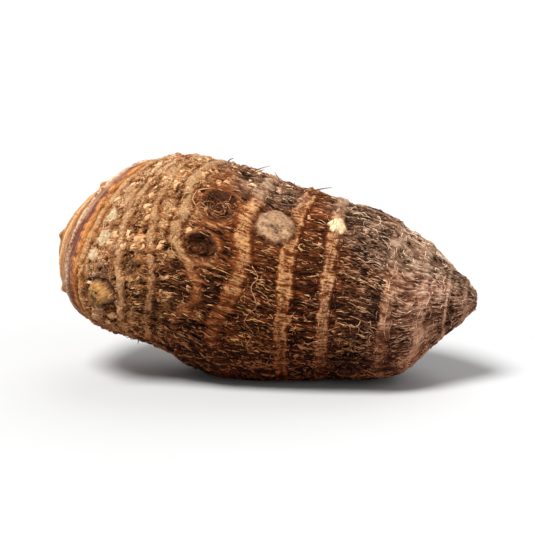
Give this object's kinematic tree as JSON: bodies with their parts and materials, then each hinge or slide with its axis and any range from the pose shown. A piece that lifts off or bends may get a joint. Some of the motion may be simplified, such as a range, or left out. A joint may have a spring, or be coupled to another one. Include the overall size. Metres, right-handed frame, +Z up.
{
  "type": "taro root",
  "caption": "Whole taro corm lying on its side: a blunt barrel tapering to a small tail, ringed by leaf scars and set with round buds under a rough, fibrous brown skin.",
  "frame": {"origin": "middle of the box's base, on the surface that the corm rests on", "axes": "+X along the corm from the blunt leafy crown to the tapered tail, +Z up, -Y the side with the round buds that the picture shows"},
  "size_m": [0.1646, 0.075, 0.088],
  "materials": {
    "taro_skin": "rough matt corm skin, dark brown with pale papery scales and dry root fibres"
  },
  "bodies": {
    "root": {"taro_corm": "taro_skin"}
  },
  "joints": []
}
